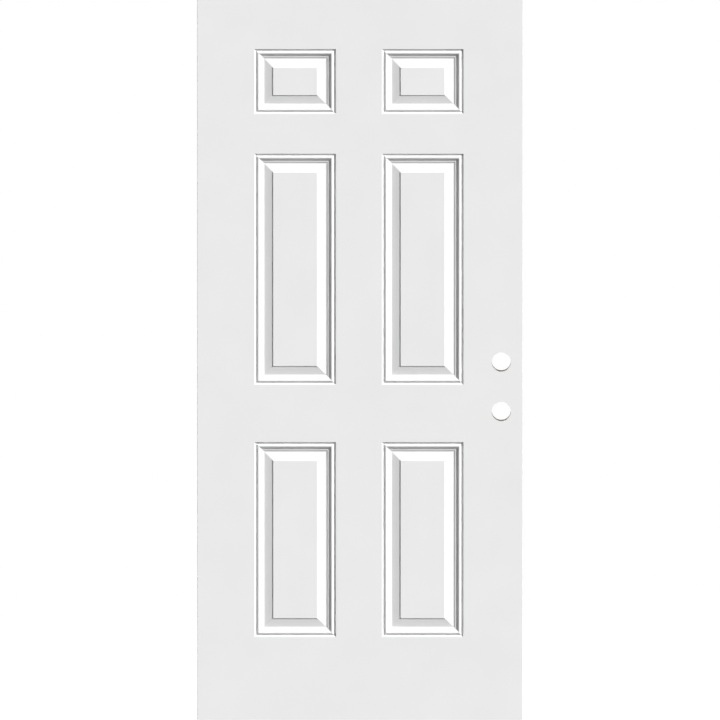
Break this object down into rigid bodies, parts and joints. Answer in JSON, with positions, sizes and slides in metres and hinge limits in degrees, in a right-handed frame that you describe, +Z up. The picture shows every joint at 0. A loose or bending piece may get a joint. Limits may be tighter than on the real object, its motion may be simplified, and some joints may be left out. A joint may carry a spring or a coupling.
{
  "type": "panelled front door slab",
  "caption": "Steel-skinned entry door slab with embossed raised panels in pairs, a wood frame and a foam core, bored for a lockset and deadbolt and pocketed for hinges.",
  "frame": {"origin": "middle of the slab's foot, halfway through its thickness", "axes": "+X towards the lock edge, -Y out of the outdoor face, +Z up"},
  "size_m": [0.9144, 0.0444, 2.032],
  "materials": {
    "primed_steel": "factory primer, smooth satin white",
    "softwood": "planed, unfinished",
    "composite": "matte, slightly speckled",
    "veneer_lumber": "raw laminated veneer",
    "foam": "rigid closed-cell foam, matte",
    "staple_steel": "galvanised wire"
  },
  "bodies": {
    "root": {"front_skin": "primed_steel", "back_skin": "primed_steel", "hinge_stile": "softwood", "lock_stile": "softwood", "top_rail": "softwood", "bottom_rail": "composite", "lock_block": "veneer_lumber", "foam_core": "foam", "corner_staples": "staple_steel"}
  },
  "joints": []
}
